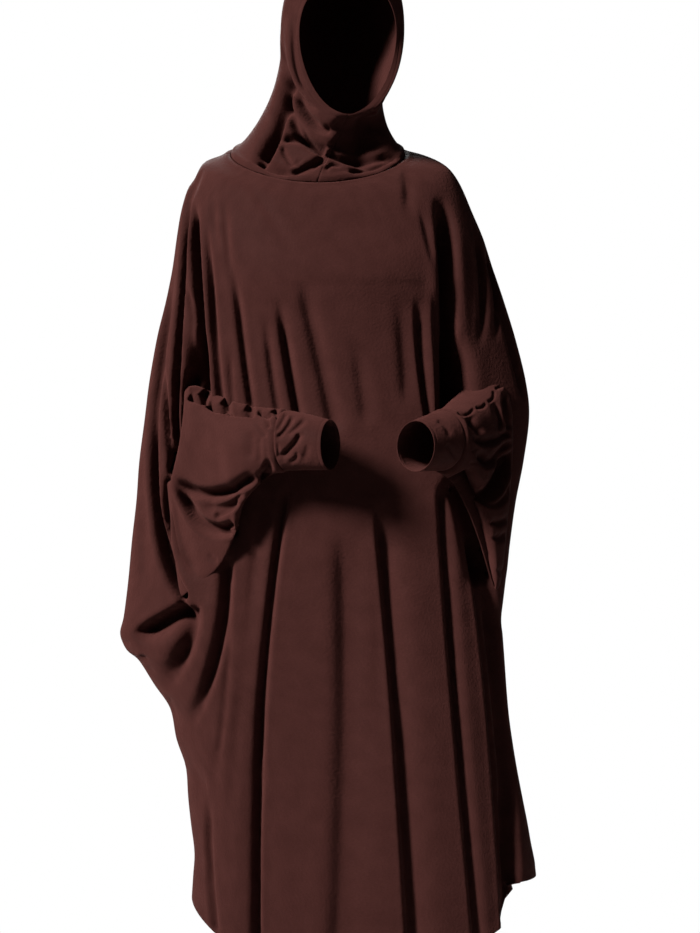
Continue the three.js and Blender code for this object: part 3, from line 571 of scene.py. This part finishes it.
# ---- the forms of the dress ------------------------------------------------------------------------


def make_body():
    """Rings of the body, from the collar seam to the hem: first the front's columns, then the back's."""
    names = ["rightX", "rightZ", "leftX", "leftZ", "sideY", "frontY", "frontZ", "backY", "backZ", "power"]
    places = np.interp(np.arange(BODY_ROWS + 1), ROWS_DOWN_TO, BODY_ROWS_AT)
    r = section_points(BODY, names, places)
    mid = (r["rightX"] + r["leftX"]) / 2
    front_turns = even_turns(BODY_SECTION, -0.25, 0.25, FRONT_COLUMNS)
    back_turns = even_turns(BODY_SECTION, 0.25, 0.75, BACK_COLUMNS)
    smooth = rings(
        xyz(mid, r["frontY"], r["frontZ"]),
        xyz(mid, r["backY"], r["backZ"]),
        xyz(r["rightX"], r["sideY"], r["rightZ"]),
        xyz(r["leftX"], r["sideY"], r["leftZ"]),
        r["power"],
        np.concatenate([front_turns, back_turns]),
    )
    # the hem rises towards the left corner of the front
    rows_up = len(BODY) - 1 - places
    share = np.maximum(1 - rows_up / TAB_ROWS, 0)[:, None] ** 2
    beside = smoothstep((smooth[-1, :, 0] - TAB_FROM) / TAB_RUN)
    smooth[..., 2] += np.maximum(TAB_LEVEL - smooth[-1, :, 2], 0) * beside * share
    normals = normals_of(smooth)
    pressed = press(smooth, normals, FRONT_FOLDS + RIGHT_SWAGS, -1)
    pressed = soften(press(pressed, normals, BACK_FOLDS, 1))
    return raised(raised(pressed, "start", BODY_COLLAR_MARKS), "end", HEM_MARKS)


def make_arm(table, rows):
    """Rings of a sleeve or a cuff: each hangs from its top point to its low point."""
    names = ["topX", "topY", "topZ", "lowX", "lowY", "lowZ", "topWidth", "lowWidth", "rise", "heading"]
    s = section_points(table, names, np.linspace(0, len(table) - 1, rows + 1))
    a = 2 * np.pi * np.arange(FOREARM_SIDES) / FOREARM_SIDES
    fall = ((1 - np.cos(a))[None, :] / 2) ** s["rise"][:, None]
    width = (s["topWidth"][:, None] * (1 - fall) + s["lowWidth"][:, None] * fall) * np.sin(a)[None, :]
    top = xyz(s["topX"], s["topY"], s["topZ"])[:, None, :]
    low = xyz(s["lowX"], s["lowY"], s["lowZ"])[:, None, :]
    turn = np.radians(s["heading"])
    across = xyz(np.cos(turn), np.sin(turn), np.zeros_like(turn))[:, None, :]
    return top + (low - top) * fall[..., None] + across * width[..., None]


def make_sleeve(table, folds):
    smooth = make_arm(table, FOREARM_ROWS)
    return raised(soften(press(smooth, normals_of(smooth), folds, -1)), "end", WRIST_MARKS)


def make_cuff(table, folds):
    smooth = make_arm(table, CUFF_ROWS)
    pressed = press(smooth, normals_of(smooth), folds, -1)
    return raised(raised(pressed, "start", CUFF_SEAM_MARKS), "end", CUFF_EDGE_MARKS)


def make_hood():
    """Rings of the hood, from the collar seam to the face opening: first the left half, then the right."""
    names = ["frontX", "frontY", "frontZ", "rightX", "leftX", "sideY", "sideZ", "backX", "backY", "backZ"]
    h = section_points(HOOD, names + ["power"], np.linspace(0, len(HOOD) - 1, HOOD_ROWS + 1))
    left_turns = even_turns(HOOD_SECTION, 0, 0.5, HOOD_COLUMNS)
    right_turns = even_turns(HOOD_SECTION, 0.5, 1, HOOD_COLUMNS)
    smooth = rings(
        xyz(h["frontX"], h["frontY"], h["frontZ"]),
        xyz(h["backX"], h["backY"], h["backZ"]),
        xyz(h["rightX"], h["sideY"], h["sideZ"]),
        xyz(h["leftX"], h["sideY"], h["sideZ"]),
        h["power"],
        np.concatenate([left_turns, right_turns]),
    )
    pressed = soften(press(smooth, normals_of(smooth), HOOD_FOLDS, -1))
    return raised(raised(pressed, "start", HOOD_COLLAR_MARKS), "end", HOOD_FACE_MARKS)


body = make_body()
right_sleeve = make_sleeve(SLEEVE_RIGHT, SLEEVE_RIGHT_FOLDS + RIGHT_SWAGS)
left_sleeve = make_sleeve(SLEEVE_LEFT, SLEEVE_LEFT_FOLDS)
hood = make_hood()
front = columns(body, 0, FRONT_COLUMNS)
hole = covered(front, right_sleeve, RIGHT_HEADING, RIGHT_BOX)
hole |= covered(front, left_sleeve, LEFT_HEADING, LEFT_BOX)

made = {
    "front": panel("cloth_front", body, 0, FRONT_COLUMNS, hole),
    "back": panel("cloth_back", body, FRONT_COLUMNS, FRONT_COLUMNS + BACK_COLUMNS),
    "sleeve_right": tube("cloth_sleeve_right", right_sleeve),
    "sleeve_left": tube("cloth_sleeve_left", left_sleeve),
    "cuff_right": tube("cloth_cuff_right", make_cuff(CUFF_RIGHT, CUFF_RIGHT_FOLDS)),
    "cuff_left": tube("cloth_cuff_left", make_cuff(CUFF_LEFT, CUFF_LEFT_FOLDS)),
    "hood_left": panel("cloth_hood_left", hood, 0, HOOD_COLUMNS),
    "hood_right": panel("cloth_hood_right", hood, HOOD_COLUMNS, 2 * HOOD_COLUMNS),
}

# ---- cloth -----------------------------------------------------------------------------------------


def noise(tree, place, scale, detail):
    """A flat noise over the cloth's own coordinates, in metres."""
    node = tree.nodes.new("ShaderNodeTexNoise")
    node.noise_dimensions = "2D"
    node.inputs["Scale"].default_value = scale
    node.inputs["Detail"].default_value = detail
    tree.links.new(place, node.inputs["Vector"])
    return node.outputs[0]


def bump(tree, height, strength, distance):
    node = tree.nodes.new("ShaderNodeBump")
    node.inputs["Strength"].default_value = strength
    node.inputs["Distance"].default_value = distance
    tree.links.new(height, node.inputs["Height"])
    return node


def jersey():
    """Brown knitted jersey: fine uneven courses, slow patches of colour, a short pile and a low sheen."""
    mat = bpy.data.materials.new("satin_jersey")
    mat.use_nodes = True
    tree = mat.node_tree
    tree.nodes.clear()
    new = tree.nodes.new
    link = tree.links.new
    bsdf = new("ShaderNodeBsdfPrincipled")
    bsdf.inputs["Diffuse Roughness"].default_value = 1
    bsdf.inputs["Specular IOR Level"].default_value = 0.05
    bsdf.inputs["IOR"].default_value = 1.25
    bsdf.inputs["Specular Tint"].default_value = (1, 0.72, 0.66, 1)
    bsdf.inputs["Sheen Weight"].default_value = 0.03
    bsdf.inputs["Sheen Roughness"].default_value = 0.4
    bsdf.inputs["Sheen Tint"].default_value = (0.55, 0.3, 0.25, 1)
    cloth_place = new("ShaderNodeUVMap")
    cloth_place.uv_map = "cloth"
    courses = new("ShaderNodeMapping")
    courses.inputs["Scale"].default_value = (260, 900, 1)
    link(cloth_place.outputs[0], courses.inputs[0])
    knit = noise(tree, courses.outputs[0], 1, 3)
    patches = noise(tree, cloth_place.outputs[0], 35, 4)
    grain = noise(tree, cloth_place.outputs[0], 230, 3)
    # the colour goes by the mean of knit and patches
    half = new("ShaderNodeMath")
    half.operation = "MULTIPLY"
    half.inputs[1].default_value = 0.5
    link(patches, half.inputs[0])
    mean = new("ShaderNodeMath")
    mean.operation = "MULTIPLY_ADD"
    mean.inputs[1].default_value = 0.5
    link(knit, mean.inputs[0])
    link(half.outputs[0], mean.inputs[2])
    browns = new("ShaderNodeValToRGB")
    browns.color_ramp.elements[0].position = 0.3
    browns.color_ramp.elements[0].color = (0.070, 0.0235, 0.0200, 1)
    browns.color_ramp.elements[1].position = 0.7
    browns.color_ramp.elements[1].color = (0.092, 0.0315, 0.0270, 1)
    link(mean.outputs[0], browns.inputs[0])
    link(browns.outputs[0], bsdf.inputs["Base Color"])
    rough = new("ShaderNodeMapRange")
    rough.inputs["To Min"].default_value = 0.46
    rough.inputs["To Max"].default_value = 0.58
    link(knit, rough.inputs["Value"])
    link(rough.outputs[0], bsdf.inputs["Roughness"])
    pile = bump(tree, grain, 0.8, 0.0009)
    stitches = bump(tree, knit, 0.3, 0.0005)
    link(pile.outputs[0], stitches.inputs["Normal"])
    link(stitches.outputs[0], bsdf.inputs["Normal"])
    out = new("ShaderNodeOutputMaterial")
    link(bsdf.outputs[0], out.inputs[0])
    return mat


# the jersey on every piece, each hung from the root in place of its solid
cloth = jersey()
for node, piece in made.items():
    piece.data.materials.append(cloth)
    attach(piece, "root")
    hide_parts(node)

# ---- floor, light and camera, in metres ------------------------------------------------------------

FLOOR_LEVEL = -1.38
FLOOR_SIDE, FLOOR_NEAR, FLOOR_FAR = 6, -5, 1.5  # it ends behind the dress, just out of the camera's sight
CAMERA_PLACE, CAMERA_LENS, SENSOR = (0.034, -3.6, -0.431), 99.2, 36
BACKDROP, AMBIENT = 1.0, 0.035  # brightness of the white behind the dress, and of the light that it gives


def make_floor():
    corners = [(-1, FLOOR_NEAR), (1, FLOOR_NEAR), (1, FLOOR_FAR), (-1, FLOOR_FAR)]
    mesh = bpy.data.meshes.new("floor")
    mesh.from_pydata([(side * FLOOR_SIDE, y, FLOOR_LEVEL) for side, y in corners], [], [(0, 1, 2, 3)])
    floor = bpy.data.objects.new("floor", mesh)
    bpy.context.scene.collection.objects.link(floor)
    pale = bpy.data.materials.new("pale_floor")
    pale.use_nodes = True
    bsdf = pale.node_tree.nodes["Principled BSDF"]
    bsdf.inputs["Base Color"].default_value = (0.8, 0.8, 0.8, 1)
    bsdf.inputs["Roughness"].default_value = 0.9
    mesh.materials.append(pale)


def background(tree, strength):
    node = tree.nodes.new("ShaderNodeBackground")
    node.inputs["Color"].default_value = (1, 1, 1, 1)
    node.inputs["Strength"].default_value = strength
    return node.outputs[0]


def make_world():
    """A white world that lights the dress only a little."""
    world = bpy.data.worlds.new("studio")
    bpy.context.scene.world = world
    world.use_nodes = True
    tree = world.node_tree
    tree.nodes.clear()
    rays = tree.nodes.new("ShaderNodeLightPath")
    both = tree.nodes.new("ShaderNodeMixShader")
    tree.links.new(rays.outputs["Is Camera Ray"], both.inputs[0])
    tree.links.new(background(tree, AMBIENT), both.inputs[1])
    tree.links.new(background(tree, BACKDROP), both.inputs[2])
    out = tree.nodes.new("ShaderNodeOutputWorld")
    tree.links.new(both.outputs[0], out.inputs[0])


def area_light(name, place, target, size, watts, spread=180):
    data = bpy.data.lights.new(name, "AREA")
    data.shape = "RECTANGLE"
    data.size, data.size_y = size
    data.energy = watts
    data.spread = math.radians(spread)
    light = bpy.data.objects.new(name, data)
    bpy.context.scene.collection.objects.link(light)
    light.location = place
    light.visible_camera = False
    light.rotation_mode = "QUATERNION"
    light.rotation_quaternion = (Vector(target) - Vector(place)).to_track_quat("-Z", "Y")


def make_camera():
    """A camera level with the middle of the dress, straight ahead of it."""
    data = bpy.data.cameras.new("camera")
    data.sensor_width = SENSOR
    data.lens = CAMERA_LENS
    camera = bpy.data.objects.new("camera", data)
    bpy.context.scene.collection.objects.link(camera)
    camera.location = CAMERA_PLACE
    camera.rotation_euler = (math.pi / 2, 0, 0)
    bpy.context.scene.camera = camera


make_floor()
make_world()
area_light("key", (-3.2, -3.1, 2.2), (0, 0, -0.5), (1.0, 1.2), 20.5, spread=40)
area_light("fill", (2.2, -2.8, 0.2), (0, 0, -0.5), (1.2, 1.8), 0.35)
area_light("back", (-0.6, 2.6, 1.4), (0, 0, -0.3), (1.6, 1.6), 42)
make_camera()
bpy.context.scene.view_settings.view_transform = "Standard"
